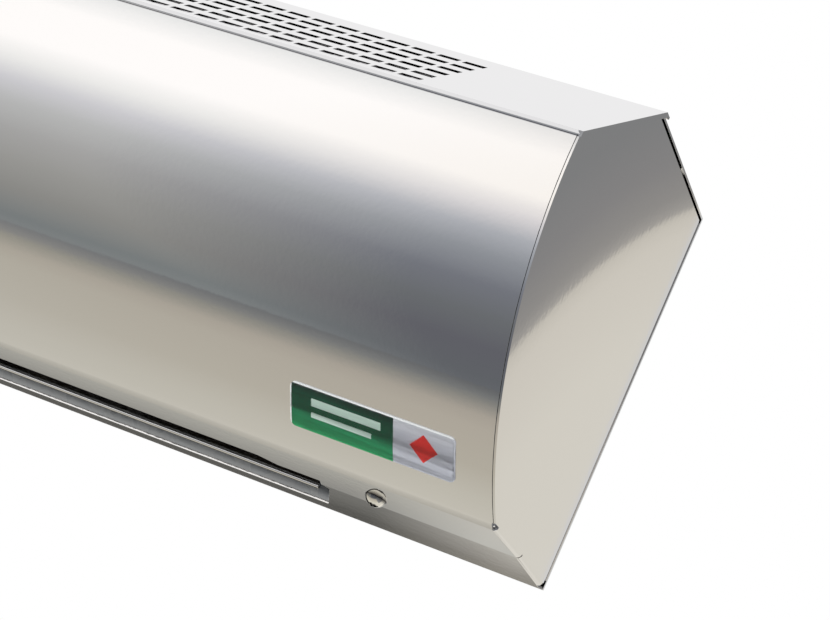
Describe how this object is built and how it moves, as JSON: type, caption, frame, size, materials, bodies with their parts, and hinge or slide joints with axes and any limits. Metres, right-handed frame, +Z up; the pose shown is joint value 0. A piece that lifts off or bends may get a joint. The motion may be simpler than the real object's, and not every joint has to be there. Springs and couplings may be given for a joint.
{
  "type": "air curtain",
  "caption": "Compact wall-mounted heated air curtain in stainless sheet: slotted sloping intake, curved front, cross-flow rotor and a tilting outlet guide vane",
  "frame": {"origin": "centre of the back plate's wall face", "axes": "+X along the unit towards its right end as seen from the front, +Y into the wall, +Z up"},
  "size_m": [0.8026, 0.1365, 0.1902],
  "materials": {
    "steel_polished": "bright brushed stainless sheet",
    "steel_inner": "dull galvanised sheet",
    "steel_screw": "bright zinc-plated screws",
    "shaft_steel": "ground steel",
    "rotor_metal": "dull aluminium blades",
    "hub_cast": "die-cast aluminium",
    "bronze": "sintered bronze",
    "rubber_black": "matt black rubber",
    "motor_paint": "dark grey motor enamel",
    "nylon_white": "white nylon",
    "ceramic": "glazed steatite",
    "heater_sheath": "dark heat-tinted tube",
    "phenolic": "brown phenolic",
    "board_green": "green solder resist",
    "relay_blue": "blue moulded case",
    "pvc_black": "black PVC",
    "wire_red": "silicone wire",
    "brass_plain": "plain brass",
    "badge_print": "printed film, green and silver",
    "badge_resin": "clear poured resin"
  },
  "bodies": {
    "casing": {"front_panel": "steel_polished", "back_plate": "steel_polished", "intake_grille": "steel_polished", "end_plate_left": "steel_polished", "end_plate_right": "steel_polished", "partition_left": "steel_inner", "partition_right": "steel_inner", "scroll_sheet": "steel_inner", "tongue_sheet": "steel_inner", "idle_bush": "bronze", "bush_rubber": "rubber_black", "bush_housing": "hub_cast", "motor": "motor_paint", "motor_ring": "rubber_black", "motor_bracket": "steel_inner", "capacitor": "nylon_white", "capacitor_clip": "steel_inner", "vane_bushes": "nylon_white", "heating_element": "heater_sheath", "heater_supports": "steel_inner", "ceramic_bushes": "ceramic", "thermal_cutout": "phenolic", "terminal_block": "nylon_white", "terminal_screws": "brass_plain", "control_board": "board_green", "relays": "relay_blue", "standoffs": "nylon_white", "wiring_loom": "pvc_black", "loom_clips": "nylon_white", "loom_grommets": "rubber_black", "short_wires": "wire_red", "cable_grommet": "rubber_black", "badge_film": "badge_print", "badge_dome": "badge_resin", "front_screws": "steel_screw", "partition_screws": "steel_screw", "bracket_screws": "steel_screw", "board_screws": "steel_screw", "end_plate_rivets": "steel_screw"},
    "fan": {"rotor": "rotor_metal", "drive_hub": "hub_cast", "idle_hub": "hub_cast", "motor_shaft": "shaft_steel", "idle_shaft": "shaft_steel"},
    "guide_vane": {"outlet_vane": "steel_polished", "vane_pins": "brass_plain"}
  },
  "joints": [
    {"name": "rotor_spin", "type": "hinge", "parent": "casing", "child": "fan", "pos_m": [0, -0.062, 0.02], "axis": [1, 0, 0], "continuous": true},
    {"name": "vane_tilt", "type": "hinge", "parent": "casing", "child": "guide_vane", "pos_m": [0, -0.02, -0.068], "axis": [1, 0, 0], "range_deg": [-15, 15]}
  ]
}
